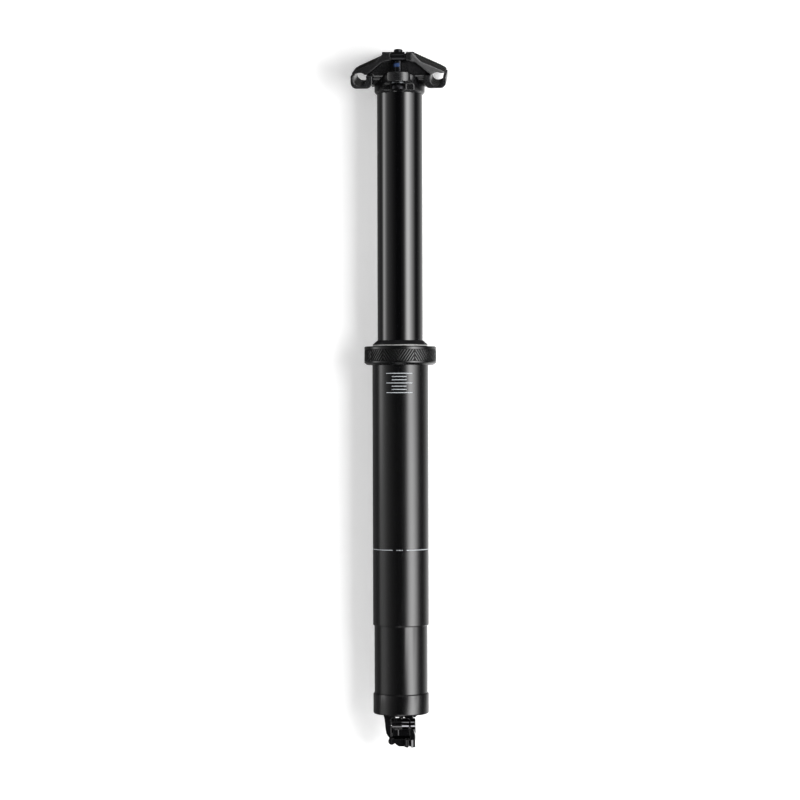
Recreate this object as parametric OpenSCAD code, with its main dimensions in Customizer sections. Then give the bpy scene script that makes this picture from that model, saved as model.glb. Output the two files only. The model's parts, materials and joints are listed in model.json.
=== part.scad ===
// Dropper seatpost with a gas cartridge, a two-bolt saddle clamp and a cable
// release at its foot. Millimetres, +Z up along the post. The origin is on the
// axis at the collar's underside, which rests on the top of the seat tube.
// The front of the bicycle is towards -Y, and +X and -X are the two rails.
// The model is drawn at full height. Everything above the collar drops by travel.

/* [Seat tube fit] */
// Diameter of the outer tube, which slides in the frame
post_d = 31.6; // [30.9:0.1:34.9]
// Wall of the outer tube where the frame grips it
post_wall = 2.2; // [2:0.05:2.6]
// Length of the thinner part of the tube that shows above the bottom cap
relief_len = 38; // [20:1:60]
// Wall of the outer tube in its thinner part
relief_wall = 1.4; // [1.2:0.05:1.7]
// How much smaller than the tube the bottom cap is, so that it passes the frame
cap_undersize = 0.2; // [0.1:0.1:0.6]
// Height of the bottom cap
cap_h = 11.7; // [10:0.1:14]
// Thickness of the bottom cap's floor
cap_floor = 3; // [2.5:0.1:4]
// Radius of the bottom cap's lower edge
cap_round = 0.9; // [0.6:0.1:2]

/* [Travel] */
// How far the saddle drops
travel = 125; // [100:5:150]
// Length of stanchion still inside the outer tube at full height
overlap = 60; // [58:1:80]
// Length of stanchion that still shows when the saddle is fully down
bottomed_gap = 13.8; // [10:0.2:30]
// Space left between the lowered stanchion and its rubber stop
bottom_room = 2; // [0.5:0.5:6]
// Height of the rubber stop on the bottom cap
bumper_h = 6.4; // [5:0.2:9]

/* [Stanchion and guides] */
// Wall of the stanchion
stanchion_wall = 2; // [1.8:0.05:2.2]
// Radial space between the stanchion and the outer tube, which the bushings fill
guide_gap = 0.8; // [0.7:0.05:1]
// Depth of the lower bushing's groove in the stanchion
bushing_groove = 0.4; // [0.3:0.05:0.5]
// Length of the upper bushing
upper_bushing_len = 20; // [14:1:22]
// Length of the lower bushing
lower_bushing_len = 10; // [8:1:14]
// Depth of the upper bushing below the collar
upper_bushing_depth = 4; // [3:0.5:8]
// Number of anti-rotation keys
key_count = 3; // [2:1:4]
// Width of an anti-rotation key
key_w = 3; // [2.4:0.1:3.6]
// Length of an anti-rotation key
key_len = 11; // [8:0.5:13]
// Depth of a key's pocket in the stanchion
key_pocket = 1; // [0.8:0.05:1.2]
// Depth of the keyways in the outer tube
keyway_depth = 0.4; // [0.3:0.05:0.5]

/* [Collar and wiper] */
// Diameter of the collar
collar_d = 40.6; // [38:0.2:46]
// Height of the collar without its raised seat
collar_h = 10.4; // [9.4:0.1:12]
// Height of the raised seat under the wiper
collar_seat_h = 0.8; // [0.4:0.1:1.2]
// Width of the collar's lower chamfer
collar_chamfer = 1.7; // [1:0.1:2.5]
// Height of the smooth band below the gripping pattern
collar_low_band = 2; // [1.6:0.1:2.6]
// Height of the smooth band above the gripping pattern
collar_top_band = 1.7; // [1.2:0.1:2.4]
// Depth of the gripping pattern
grip_depth = 0.5; // [0.3:0.05:0.8]
// Length of the threaded neck of the outer tube, inside the collar
neck_len = 5.5; // [4.5:0.1:6]
// Wall of the threaded neck
neck_wall = 1.4; // [1.2:0.05:1.6]
// Height of the wiper's cone
wiper_h = 2.6; // [2:0.1:4]
// How far the wiper's base stands out from the stanchion
wiper_flange = 2.66; // [2.4:0.05:3]
// Wall of the wiper's stem in the collar
wiper_stem = 1.7; // [1.4:0.05:1.9]

/* [Gas cartridge] */
// Radial space between the cartridge cylinder and the stanchion
cylinder_gap = 1.3; // [1:0.1:1.6]
// Wall of the cartridge cylinder
cylinder_wall = 1.5; // [1.2:0.05:1.8]
// Diameter of the piston rod
rod_d = 8; // [7.6:0.1:8.4]
// Diameter of the release pin inside the rod
release_pin_d = 2.5; // [2:0.1:3]
// Length of the piston
piston_len = 12; // [11:0.5:16]
// Length of the gland that closes the cylinder round the rod
gland_len = 12; // [10:0.5:16]
// Thickness of the rubber ring that stops the post at full height
top_out_h = 1.7; // [1.2:0.1:3]
// Length of the floating piston between oil and gas
float_len = 8; // [6:0.5:12]
// Length of the plug in the top of the cylinder
plug_len = 10; // [8:0.5:14]
// Height of the retainer in the foot of the stanchion
retainer_h = 4; // [3:0.5:6]
// Width across flats of the nut on the rod
rod_nut_af = 13; // [12:0.5:14]
// Height of the nut on the rod
rod_nut_h = 4; // [3:0.5:5]

/* [Head] */
// Wall of the cup round the top of the stanchion
cup_wall = 1.4; // [1.2:0.1:2.4]
// Depth of stanchion in the cup
cup_socket = 3; // [2:0.1:3.2]
// Length of the spigot bonded inside the stanchion
spigot_len = 22; // [16:1:30]
// Height of the tilt axis above the cup's lower edge
tilt_h = 18.9; // [18.6:0.1:20]
// Radius of the curved seat that the saddle clamp tilts on
seat_r = 14.5; // [14:0.1:14.7]
// Diameter of the bolt bosses
boss_d = 12.2; // [11:0.1:12.4]
// Height of the bolt bosses
boss_h = 5.4; // [4:0.1:6]
// Height of the bosses' top above the cup's lower edge
boss_top = 10.2; // [9.4:0.1:10.6]

/* [Saddle clamp] */
// Diameter of the saddle rails
rail_d = 7; // [6.8:0.1:7.4]
// Distance between the saddle rails' centres
rail_pitch = 43; // [42:0.5:45]
// Distance of the rail centres below the tilt axis
rail_drop = 8.6; // [8.2:0.1:9]
// Length of the clamp along the rails
clamp_len = 40; // [38:0.5:44]
// Nose-down angle of the rails, square to the post being 0
clamp_tilt = 12; // [8:0.5:14]
// How far the clamp can be adjusted each way from that angle
tilt_range = 8; // [4:1:8]
// Wall of the lower clamp outside the rail
rail_wall_side = 1.7; // [1.4:0.1:2.4]
// Wall of the lower clamp under the rail
rail_wall_low = 1.6; // [1.4:0.1:2.4]
// Height of the lower clamp's walls above the rail centre
trough_h = 2.1; // [1.6:0.1:2.4]
// Gap between the upper and lower clamps
parting_gap = 0.3; // [0.2:0.05:0.6]
// Radius of the lower clamp's lower corners
block_round = 3.4; // [2:0.1:4]
// Angle of the curved foot each side of its middle
foot_angle = 38; // [30:1:40]
// Height of the upper clamps' top plates above the tilt axis
plate_top = 3.8; // [3.4:0.1:4.4]
// Thickness of the upper clamps' top plates
plate_t = 1.7; // [1.4:0.1:2.2]
// Thickness of the upper clamps over the rail
rail_cap = 2.4; // [2:0.1:3]
// Gap between the two upper clamps
wing_gap = 8; // [7:0.1:8.4]
// Angle by which the upper clamps' ends fall back outwards
wing_sweep = 12; // [6:1:16]
// Length of the lower clamp's middle, under the upper clamps
bridge_len = 25; // [20:0.5:25.4]

/* [Clamp bolts] */
// Diameter of the clamp bolts
bolt_d = 5; // [4.8:0.1:5.2]
// Length of the clamp bolts under the head
bolt_len = 19.5; // [18:0.5:22]
// Diameter of the bolt heads
bolt_head_d = 8.5; // [8:0.1:8.8]
// Height of the bolt heads
bolt_head_h = 3.5; // [3:0.1:4.4]
// Key size of the bolts' sockets
bolt_key = 4; // [3:0.5:4.5]
// Thickness of the washers under the heads
washer_t = 0.9; // [0.6:0.1:1.2]
// Height of the cross nuts
nut_h = 5.4; // [5:0.1:5.8]
// Length of the cross nuts, front to back
nut_len = 7.8; // [7.4:0.1:8.6]
// Diameter of the cross nuts' journals
journal_d = 3.8; // [3.4:0.1:4]
// Length of each journal in its upper clamp
journal_len = 5; // [4:0.1:5.4]

/* [Cable release] */
// Distance from the post's axis to the cable, sideways
cable_x = 5.3; // [5:0.1:5.6]
// Distance from the post's axis to the cable, towards the front
cable_y = 10; // [9.9:0.1:10.4]
// Diameter of the bore for the cable housing
housing_bore = 4.1; // [4:0.05:4.4]
// Wall round the cable housing
housing_wall = 1; // [0.6:0.05:1.2]
// Height of the housing stop
stop_h = 4.4; // [4:0.1:5]
// Thickness of the housing stop's end wall
stop_wall = 0.8; // [0.6:0.1:1.2]
// Diameter of the cable barrel
barrel_d = 5; // [4.6:0.1:5.2]
// Length of the cable barrel
barrel_len = 7.6; // [7.2:0.1:7.8]
// Depth of the lever's pivot below the bottom cap
pivot_drop = 5.9; // [5.7:0.1:6.1]
// Distance of the lever's pivot in front of the post's axis
pivot_y = 3.5; // [3.3:0.1:3.7]
// Diameter of the lever's pivot pin
pivot_d = 3; // [2.6:0.1:3.4]
// How far the release pin stands out of the bottom cap
pin_reach = 3; // [2.8:0.1:3.2]
// Thickness of the bracket's flange
flange_t = 1.6; // [1.4:0.1:1.8]
// Height of the whole release under the bottom cap
release_h = 17.9; // [17.5:0.1:18.6]

/* [Hidden] */
$fn = 96;
// Radial clearance of bonded and threaded joints
tight = 0.02;
// Radial clearance of running fits
running = 0.05;
// Space between a thread's crest and its mate
thread_gap = 0.05;
// How far cuts run past the faces that they open
past = 1;
// Small chamfer on turned edges
edge = 0.4;
// Space left round pieces that only lie in place
loose = 0.3;
// Space between a piston and its bore
piston_gap = 0.08;

post_r = post_d / 2;
bore_r = post_r - post_wall;
stanchion_r = bore_r - guide_gap;
stanchion_in = stanchion_r - stanchion_wall;
relief_r = bore_r + relief_wall;
keyway_r = bore_r + keyway_depth;
tail_r = relief_r - loose;
neck_r = bore_r + neck_wall;
cap_r = post_r - cap_undersize / 2;

wiper_z = collar_h + collar_seat_h;
wiper_top = wiper_z + wiper_h;
cup_z = wiper_top + bottomed_gap + travel;
stanchion_top = cup_z + cup_socket;
floor_z = -(travel + overlap + bottom_room + bumper_h);
cap_z = floor_z - cap_floor;
cap_top = cap_z + cap_h;
step_z = cap_top + relief_len;
key_foot = 2;
key_z = key_foot - overlap;
lower_bushing_z = key_z + key_len + key_foot;
upper_bushing_z = -upper_bushing_depth - upper_bushing_len;

collar_r = collar_d / 2;
wiper_base_r = stanchion_r + wiper_flange;
wiper_seat_r = stanchion_r + wiper_stem + running;
shoulder_z = neck_len + 0.5;
wiper_stem_z = shoulder_z + 0.1;

cylinder_r = stanchion_in - cylinder_gap;
cylinder_in = cylinder_r - cylinder_wall;
piston_r = cylinder_in - piston_gap;
cylinder_z = retainer_h - overlap;
head_web = 2.4;
pocket_top = cup_z - head_web;
plug_flange = 2.2;
cylinder_top = pocket_top - plug_flange;
plug_z = cylinder_top - plug_len;
gland_top = cylinder_z + gland_len;
piston_z = gland_top + top_out_h + loose;
rod_r = rod_d / 2;
pin_r = release_pin_d / 2;
rod_in = pin_r + 0.2;
rod_tip_r = rod_r - 1;
rod_tip_len = 4;
poppet_r = pin_r + 0.95;
poppet_len = 4;
chamber_z = piston_z + 6;
poppet_z = chamber_z + loose;
seal_w = 2.4;
seal_depth = 1;
seal_inset = 2;
plug_seal_inset = 3;
rod_seal_inset = 5;
rod_seal_depth = 2;
// The rod pushes oil aside as it enters, and the floating piston makes room for it
float_rise = travel * pow(rod_r / cylinder_in, 2);
// The floating piston stays this far above the piston when the post is down
float_room = 2;
float_z = piston_z + piston_len + travel + float_room - float_rise;

cup_r = stanchion_r + cup_wall;
tilt_z = cup_z + tilt_h;
boss_r = boss_d / 2;
boss_z = cup_z + boss_top - boss_h;
bolt_r = bolt_d / 2;
bolt_head_r = bolt_head_d / 2;
bolt_y = stanchion_r + bolt_head_r + 0.45;
bolt_seat = boss_z - washer_t;
bolt_clearance = 0.25;
scallop_r = bolt_head_r + 0.5;
skirt_x = cup_r - 1.6;

rail_r = rail_d / 2;
rail_x = rail_pitch / 2;
block_in = cup_r + 0.4;
block_out = rail_x + rail_r + rail_wall_side;
block_low = -rail_drop - rail_r - rail_wall_low;
block_top = -rail_drop + trough_h;
wing_low = block_top + parting_gap;
wing_in = wing_gap / 2;
plate_w = 3.1;
shoulder_x = wing_in + plate_w;
plate_low = plate_top - plate_t;
wing_lip = rail_x - rail_r - 0.2;
foot_r = seat_r - running;
nut_v = bolt_y * cos(clamp_tilt);
nut_w = bolt_y * sin(clamp_tilt);
journal_r = journal_d / 2;
knuckle_r = journal_r + 1;
nut_x = wing_in - 0.4;
// The nuts' paths are arcs and the bolts stay straight, so their bores have room
nut_bore_r = bolt_r + bolt_y * (1 - cos(tilt_range)) + 0.1;

pivot_z = cap_z - pivot_drop;
pivot_r = pivot_d / 2;
hub_r = pivot_r + 1.5;
barrel_r = barrel_d / 2;
barrel_z = pivot_z + 1;
barrel_x0 = cable_x - 4.5;
hook_r = barrel_r + 0.8;
stop_r = housing_bore / 2 + housing_wall;
cable_hole_r = 0.8;
foot_z = cap_z - release_h + 0.2;
stop_z = cap_z - release_h;
beam_z = stop_z + stop_h;
column_y0 = -cable_y + hook_r + 0.8;
column_left = -5.4;
column_right = cable_x;
column_t = 1.6;
column_foot = 2.8;
column_depth = 9;
beam_t = 1.6;
beam_depth = 7;
flange_lip = 3.5;
rod_hole_r = 3.4;
lever_x = 4.9;
nose_r = 1.5;
nose_y = 0.7;
nose_z = cap_z - pin_reach - 0.3 - nose_r;
screw_x = 6.2;
screw_y = 6.5;
screw_r = 1.5;

// A plain ring standing on z
module ring(outer_r, inner_r, z, h) {
    rotate_extrude()
        translate([inner_r, z])
            square([outer_r - inner_r, h]);
}

// A cylinder along X through a point of the YZ plane
module bar_x(r, x0, x1, y, z) {
    translate([x0, y, z])
        rotate([0, 90, 0])
            cylinder(r = r, h = x1 - x0);
}

// Places its children in the saddle clamp's own frame, on the tilt axis
module in_clamp() {
    translate([0, 0, tilt_z])
        rotate([clamp_tilt, 0, 0])
            children();
}

// Extrudes a profile of X and Z along Y
module along_y(y0, y1) {
    translate([0, y1, 0])
        rotate([90, 0, 0])
            linear_extrude(height = y1 - y0)
                children();
}

// The fixed tube: wide where the frame grips it, thinner below, threaded at both ends
module outer_tube() {
    tail_z = floor_z + 0.2;
    keyway_top = key_z + key_len + 3;
    keyway_w = key_w + 2 * running;
    color("#1c1c1e")
    difference() {
        rotate_extrude()
            polygon([
                [bore_r, tail_z], [tail_r, tail_z], [tail_r, cap_top],
                [relief_r, cap_top], [relief_r, step_z], [post_r - edge, step_z],
                [post_r, step_z + edge], [post_r, 0], [neck_r, 0],
                [neck_r, neck_len], [bore_r, neck_len]
            ]);
        for (i = [0 : key_count - 1])
            rotate([0, 0, 90 + i * 360 / key_count])
                translate([0, -keyway_w / 2, tail_z - past])
                    cube([keyway_r, keyway_w, keyway_top - tail_z + past]);
    }
}

// A split guide bushing between two radii
module split_bushing(outer_r, inner_r, z, h) {
    slit_w = 1;
    difference() {
        ring(outer_r, inner_r, z, h);
        translate([-slit_w / 2, inner_r - past, z - past])
            cube([slit_w, outer_r - inner_r + 2 * past, h + 2 * past]);
    }
}

module upper_bushing() {
    color("#4a4640")
        split_bushing(bore_r - tight, stanchion_r + 0.03, upper_bushing_z, upper_bushing_len);
}

// Oiled foam ring under the wiper
module foam_ring() {
    foam_z = -upper_bushing_depth + 0.1;
    color("#6d6a62")
        ring(bore_r - tight, stanchion_r + running, foam_z, wiper_stem_z - 0.1 - foam_z);
}

// Threaded collar that holds the wiper, with a recessed band for the gripping pattern
module collar() {
    thread_r = neck_r + thread_gap;
    band_z1 = collar_h - collar_top_band;
    color("#1e1e20")
    rotate_extrude()
        polygon([
            [thread_r, 0], [collar_r - collar_chamfer, 0], [collar_r, collar_chamfer * 0.7],
            [collar_r, collar_low_band], [collar_r - grip_depth, collar_low_band],
            [collar_r - grip_depth, band_z1], [collar_r, band_z1],
            [collar_r, collar_h - edge], [collar_r - edge, collar_h],
            [wiper_base_r, collar_h], [wiper_base_r, wiper_z],
            [wiper_seat_r, wiper_z], [wiper_seat_r, shoulder_z], [thread_r, shoulder_z]
        ]);
}

// Rubber wiper: a stem in the collar, a flange on it and a cone down to a thin lip
module wiper_seal() {
    lip_r = stanchion_r + running;
    lip_t = 0.2;
    stem_r = wiper_seat_r - tight;
    color("#141414")
    rotate_extrude()
        polygon([
            [lip_r, wiper_stem_z], [stem_r, wiper_stem_z], [stem_r, wiper_z],
            [wiper_base_r, wiper_z], [wiper_base_r, wiper_z + edge],
            [lip_r + lip_t, wiper_top], [lip_r, wiper_top]
        ]);
}

// Threaded cap with a floor that carries the cartridge rod and the cable release
module bottom_cap() {
    color("#1b1b1d")
    difference() {
        rotate_extrude()
            difference() {
                union() {
                    polygon([
                        [0, cap_z + cap_round], [cap_r, cap_z + cap_round],
                        [cap_r, cap_top - edge], [cap_r - edge, cap_top], [0, cap_top]
                    ]);
                    translate([0, cap_z])
                        square([cap_r - cap_round, cap_round + past]);
                    translate([cap_r - cap_round, cap_z + cap_round])
                        circle(r = cap_round);
                }
                translate([-past, floor_z])
                    square([tail_r + thread_gap + past, cap_h]);
                translate([-past, cap_z - past])
                    square([rod_r + tight + past, cap_floor + 2 * past]);
            }
        for (side = [-1, 1])
            translate([side * screw_x, screw_y, cap_z - past])
                cylinder(r = screw_r + tight, h = cap_floor + 2 * past);
    }
}

// Rubber stop that the stanchion meets at the bottom of its travel
module bottom_out_bumper() {
    outer_r = bore_r - loose;
    inner_r = rod_nut_af / 2 / cos(30) + 1;
    color("#232323")
    rotate_extrude()
        polygon([
            [inner_r, floor_z], [outer_r, floor_z], [outer_r, floor_z + bumper_h - edge],
            [outer_r - edge, floor_z + bumper_h], [inner_r + edge, floor_z + bumper_h],
            [inner_r, floor_z + bumper_h - edge]
        ]);
}

// Hexagon nut that locks the cartridge rod to the bottom cap
module rod_nut() {
    color("silver")
    difference() {
        translate([0, 0, floor_z])
            cylinder(r = rod_nut_af / 2 / cos(30), h = rod_nut_h, $fn = 6);
        translate([0, 0, floor_z - past])
            cylinder(r = rod_r + tight, h = rod_nut_h + 2 * past);
    }
}

// Hollow rod from the bottom cap up to the piston
module cartridge_rod() {
    color("#d0d2d4")
    rotate_extrude()
        polygon([
            [rod_in, cap_z + edge], [rod_r, cap_z + edge], [rod_r, piston_z],
            [rod_tip_r, piston_z], [rod_tip_r, piston_z + rod_tip_len],
            [rod_in, piston_z + rod_tip_len]
        ]);
}

// A round groove for a seal, cut out of a solid of revolution
module seal_groove(outer_r, z) {
    ring(outer_r + past, outer_r - seal_depth, z, seal_w);
}

// Fixed piston with a groove for its seal and a chamber for the valve poppet
module piston() {
    color("#b9bbbd")
    difference() {
        translate([0, 0, piston_z])
            cylinder(r = piston_r, h = piston_len);
        translate([0, 0, piston_z - past])
            cylinder(r = rod_tip_r + tight, h = rod_tip_len + past);
        translate([0, 0, piston_z])
            cylinder(r = rod_in, h = piston_len);
        translate([0, 0, chamber_z])
            cylinder(r = poppet_r + 0.6, h = piston_len);
        seal_groove(piston_r, piston_z + seal_inset);
    }
}

module piston_seal() {
    color("#151515")
        ring(cylinder_in - running, piston_r - seal_depth + tight,
             piston_z + seal_inset + tight, seal_w - 2 * tight);
}

// Sliding tube, grooved for the lower bushing and pocketed for the keys
module stanchion() {
    stanchion_z = -overlap;
    color("#111113")
    difference() {
        rotate_extrude()
            polygon([
                [stanchion_in, stanchion_z], [stanchion_r - edge, stanchion_z],
                [stanchion_r, stanchion_z + edge], [stanchion_r, lower_bushing_z],
                [stanchion_r - bushing_groove, lower_bushing_z],
                [stanchion_r - bushing_groove, lower_bushing_z + lower_bushing_len],
                [stanchion_r, lower_bushing_z + lower_bushing_len],
                [stanchion_r, stanchion_top], [stanchion_in, stanchion_top]
            ]);
        for (i = [0 : key_count - 1])
            rotate([0, 0, 90 + i * 360 / key_count])
                translate([stanchion_r - key_pocket, -key_w / 2 - tight, key_z - tight])
                    cube([key_pocket + past, key_w + 2 * tight, key_len + 2 * tight]);
    }
}

module lower_bushing() {
    color("#4a4640")
        split_bushing(bore_r - running, stanchion_r - bushing_groove + tight,
                      lower_bushing_z + tight, lower_bushing_len - 2 * tight);
}

// Brass keys that run in the outer tube's keyways and stop the saddle from turning
module anti_rotation_keys() {
    key_in = stanchion_r - key_pocket + tight;
    color("#b08d3c")
    for (i = [0 : key_count - 1])
        rotate([0, 0, 90 + i * 360 / key_count])
            translate([key_in, -key_w / 2, key_z])
                cube([keyway_r - 0.12 - key_in, key_w, key_len]);
}

module cartridge_cylinder() {
    color("#c2c4c6")
        ring(cylinder_r, cylinder_in, cylinder_z, cylinder_top - cylinder_z);
}

// Gland that guides the rod and holds its seal
module cartridge_gland() {
    bore = rod_r + running;
    groove_r = rod_r + rod_seal_depth;
    groove_z = cylinder_z + rod_seal_inset;
    color("#8d8f92")
    rotate_extrude()
        polygon([
            [bore, cylinder_z], [cylinder_in - tight, cylinder_z],
            [cylinder_in - tight, gland_top], [bore, gland_top],
            [bore, groove_z + seal_w], [groove_r, groove_z + seal_w],
            [groove_r, groove_z], [bore, groove_z]
        ]);
}

module rod_seal() {
    color("#151515")
        ring(rod_r + rod_seal_depth - tight, rod_r + running,
             cylinder_z + rod_seal_inset + tight, seal_w - 2 * tight);
}

// Rubber ring on the gland that meets the piston at full height
module top_out_ring() {
    color("#2a2a2a")
        ring(cylinder_in - 0.4, rod_r + 0.4, gland_top, top_out_h);
}

// Threaded plug in the foot of the stanchion that holds the cartridge up
module cartridge_retainer() {
    bore = rod_r + 2 * loose;
    spanner_y = (bore + stanchion_in) / 2;
    color("#9a9c9f")
    difference() {
        ring(stanchion_in - tight, bore, -overlap, retainer_h);
        for (side = [-1, 1])
            translate([0, side * spanner_y, -overlap - past])
                cylinder(r = 1, h = retainer_h + 2 * past);
    }
}

// Plug that closes the top of the cylinder and seats under the head
module cylinder_plug() {
    plug_r = cylinder_in - tight;
    groove_z = plug_z + plug_seal_inset;
    color("#8d8f92")
    rotate_extrude()
        polygon([
            [0, plug_z], [plug_r, plug_z], [plug_r, groove_z],
            [plug_r - seal_depth, groove_z], [plug_r - seal_depth, groove_z + seal_w],
            [plug_r, groove_z + seal_w], [plug_r, cylinder_top],
            [cylinder_r, cylinder_top], [cylinder_r, pocket_top], [0, pocket_top]
        ]);
}

module plug_seal() {
    color("#151515")
        ring(cylinder_in - tight, cylinder_in - seal_depth,
             plug_z + plug_seal_inset + tight, seal_w - 2 * tight);
}

// Floating piston between the oil and the gas
module floating_piston() {
    groove_z = float_z + seal_inset;
    color("#b9bbbd")
    rotate_extrude()
        polygon([
            [0, float_z], [piston_r, float_z], [piston_r, groove_z],
            [piston_r - seal_depth, groove_z], [piston_r - seal_depth, groove_z + seal_w],
            [piston_r, groove_z + seal_w], [piston_r, float_z + float_len],
            [piston_r - 2, float_z + float_len], [piston_r - 3, float_z + float_len - 2],
            [0, float_z + float_len - 2]
        ]);
}

module floating_piston_seal() {
    color("#151515")
        ring(cylinder_in - running, piston_r - seal_depth + tight,
             float_z + seal_inset + tight, seal_w - 2 * tight);
}

// One bolt boss with the skirt that spreads from it down to the cup
module lug() {
    skirt_z = cup_z + 0.8;
    flare_x = boss_r + 2.6;
    flare_z = skirt_z + 3.6;
    waist_z = boss_z + 2;
    lug_top = cup_z + boss_top;
    face_r = 9.5;
    face_y = face_r - bolt_y - boss_r;
    relief_y = cup_r - 0.8;
    corner = 1.3;
    boss_x = boss_r + past;
    difference() {
        intersection() {
            linear_extrude(height = lug_top)
                polygon([
                    [1 - cup_r, -5], [2 - cup_r, -8], [-boss_r, -bolt_y],
                    [boss_r, -bolt_y], [cup_r - 2, -8], [cup_r - 1, -5]
                ]);
            along_y(-bolt_y - boss_r, 0)
                polygon([
                    [-skirt_x, skirt_z], [-flare_x, flare_z], [-boss_r, waist_z],
                    [-boss_r, lug_top], [boss_r, lug_top], [boss_r, waist_z],
                    [flare_x, flare_z], [skirt_x, skirt_z]
                ]);
        }
        translate([-cup_r, -relief_y - cup_r, cup_z])
            cube([2 * cup_r, cup_r, boss_z - cup_z]);
    }
    intersection() {
        translate([0, 0, boss_z])
            linear_extrude(height = boss_h)
                intersection() {
                    translate([0, face_y])
                        circle(r = face_r);
                    translate([-boss_r, -bolt_y - boss_r])
                        square([2 * boss_r, bolt_y + boss_r]);
                }
        along_y(-bolt_y - boss_x, past)
            for (side = [0, 1])
                mirror([side, 0])
                    polygon([
                        [0, boss_z - past], [0, lug_top + past], [boss_r - 0.7 - past, lug_top + past],
                        [boss_x, lug_top - 0.7 - past], [boss_x, boss_z + corner + past],
                        [boss_r, boss_z + corner], [boss_r - 0.4, boss_z + 0.4],
                        [boss_r - corner, boss_z], [boss_r - corner - past, boss_z - past]
                    ]);
    }
}

// The hole and the open recess for one bolt
module lug_cuts() {
    translate([0, -bolt_y, boss_z - past])
        cylinder(r = bolt_r + bolt_clearance, h = boss_h + 2 * past);
    translate([0, -bolt_y, cup_z - past])
        cylinder(r = scallop_r, h = boss_z - cup_z + past);
    translate([-scallop_r, -bolt_y - boss_r - past, cup_z - past])
        cube([2 * scallop_r, boss_r + past, boss_z - cup_z + past]);
}

// Forged head: a cup and spigot on the stanchion, a curved seat and two bolt bosses
module head() {
    lug_top = cup_z + boss_top;
    spigot_z = cup_z - spigot_len;
    color("#161617")
    difference() {
        union() {
            rotate_extrude()
                polygon([
                    [0, spigot_z], [stanchion_in - tight, spigot_z],
                    [stanchion_in - tight, cup_z], [cup_r - 1.1, cup_z],
                    [cup_r, cup_z + 1.3], [cup_r, lug_top], [0, lug_top]
                ]);
            lug();
            mirror([0, 1, 0])
                lug();
        }
        bar_x(seat_r, -cup_r - past, cup_r + past, 0, tilt_z);
        ring(stanchion_r + tight, stanchion_in - tight, cup_z - past, cup_socket + past + tight);
        translate([0, 0, spigot_z - past])
            cylinder(r = cylinder_r + 2 * running, h = pocket_top - spigot_z + past);
        lug_cuts();
        mirror([0, 1, 0])
            lug_cuts();
    }
}

module bolt_washers() {
    color("#8a8c8e")
    for (side = [-1, 1])
        translate([0, side * bolt_y, 0])
            ring(bolt_head_r + 0.15, bolt_r + bolt_clearance, bolt_seat, washer_t);
}

// Profile of one side of the lower clamp, with its open trough for the rail
module trough_profile() {
    difference() {
        union() {
            translate([block_in, block_low + block_round])
                square([block_out - block_in, block_top - block_low - block_round]);
            translate([block_in + block_round, block_low])
                square([block_out - block_in - 2 * block_round, block_round + past]);
            translate([block_in + block_round, block_low + block_round])
                circle(r = block_round);
            translate([block_out - block_round, block_low + block_round])
                circle(r = block_round);
        }
        translate([rail_x, -rail_drop])
            circle(r = rail_r);
        translate([rail_x - rail_r, -rail_drop])
            square([rail_d, trough_h + past]);
    }
}

// Profile of the lower clamp's middle, which rises under both upper clamps
module bridge_profile() {
    bridge_gap = 0.5;
    bridge_depth = 1.6;
    bridge_top = plate_low - bridge_gap;
    bridge_low = block_top - bridge_depth;
    bridge_x = wing_lip - 0.4;
    for (side = [0, 1])
        mirror([side, 0])
            polygon([
                [0, bridge_low], [0, bridge_top], [shoulder_x - 0.6, bridge_top],
                [shoulder_x + 1.1, bridge_top - bridge_gap],
                [bridge_x, wing_low - 0.4], [bridge_x, bridge_low]
            ]);
}

// Lower clamp: two rail troughs joined by a foot that slides in the head's curved seat
module lower_clamp() {
    foot_y = foot_r * sin(foot_angle);
    foot_x = block_in + past;
    color("#18181a") {
        difference() {
            intersection() {
                bar_x(foot_r, -foot_x, foot_x, 0, tilt_z);
                translate([-foot_x, -foot_y, tilt_z - foot_r - past])
                    cube([2 * foot_x, 2 * foot_y, foot_r + past]);
            }
            in_clamp()
                translate([-foot_x - past, -clamp_len, block_top - 1.4])
                    cube([2 * foot_x + 2 * past, 2 * clamp_len, seat_r]);
        }
        intersection() {
            bar_x(foot_r, -rail_x, rail_x, 0, tilt_z);
            in_clamp()
                along_y(-bridge_len / 2, bridge_len / 2)
                    bridge_profile();
        }
        in_clamp()
            for (side = [0, 1])
                mirror([side, 0, 0])
                    along_y(-clamp_len / 2, clamp_len / 2)
                        trough_profile();
    }
}

// Profile of the right upper clamp, seen from the front: plate, arm and rail cap
module wing_profile() {
    cap_x = block_out - 0.1;
    cap_top_w = -rail_drop + rail_r + rail_cap;
    outer_low = wing_low + 0.7;
    difference() {
        polygon([
            [wing_in, plate_top], [shoulder_x, plate_top - 0.2],
            [rail_x + 2, cap_top_w - 0.8], [cap_x - 1, cap_top_w - 2],
            [cap_x - 0.2, outer_low], [rail_x, outer_low], [rail_x, wing_low],
            [wing_lip, wing_low], [shoulder_x + 1.3, plate_low - 0.4],
            [shoulder_x - 0.6, plate_low], [wing_in, plate_low]
        ]);
        translate([rail_x, -rail_drop])
            circle(r = rail_r);
    }
}

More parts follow.
